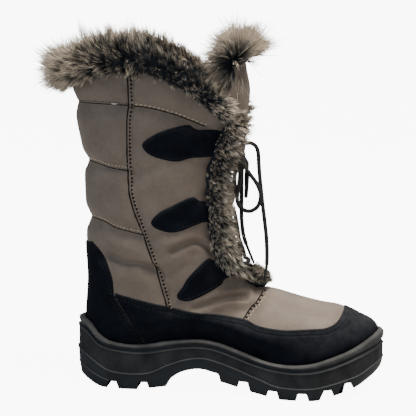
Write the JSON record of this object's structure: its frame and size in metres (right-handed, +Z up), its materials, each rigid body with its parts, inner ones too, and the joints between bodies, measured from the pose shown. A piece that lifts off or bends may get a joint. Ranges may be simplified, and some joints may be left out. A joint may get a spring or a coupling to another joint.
{
  "type": "snow boot",
  "caption": "Mid-calf lace-up snow boot for the right foot: quilted nylon shaft, suede patches, fur collar and a lugged rubber cup sole.",
  "frame": {"origin": "on the floor under the second lug of the heel, where the heel rests", "axes": "+X to the toe, +Z up along the shaft, +Y to the wearer's left, the big toe's side of this right boot"},
  "size_m": [0.3174, 0.1545, 0.3327],
  "materials": {
    "sole_rubber": "matt moulded rubber with a stippled band",
    "nylon": "satin padded nylon, quilted",
    "suede": "napped black suede",
    "pile_fur": "long fur, dark at the root and tan at the tip",
    "lace_cord": "round braided cord",
    "aglet_plastic": "glossy heat-shrunk tip",
    "footbed": "pile footbed"
  },
  "bodies": {
    "root": {"outsole": "sole_rubber", "insole": "footbed", "upper": "nylon", "tongue": "nylon", "heel_counter": "suede", "mudguard": "suede", "seam_strip_lateral": "nylon", "seam_strip_medial": "nylon", "lace_tab_lateral_1": "suede", "lace_tab_lateral_2": "suede", "lace_tab_lateral_3": "suede", "lace_tab_medial_1": "suede", "lace_tab_medial_2": "suede", "lace_tab_medial_3": "suede", "lace_crossings": "lace_cord", "lace_knot": "lace_cord", "lace_end_lateral": "lace_cord", "lace_end_medial": "lace_cord", "lace_loop_lateral": "lace_cord", "lace_loop_medial": "lace_cord", "aglet_lateral": "aglet_plastic", "aglet_medial": "aglet_plastic", "fur_collar": "pile_fur", "fur_placket_lateral": "pile_fur", "fur_placket_medial": "pile_fur", "fur_throat_base": "pile_fur", "fur_tongue": "pile_fur"}
  },
  "joints": []
}
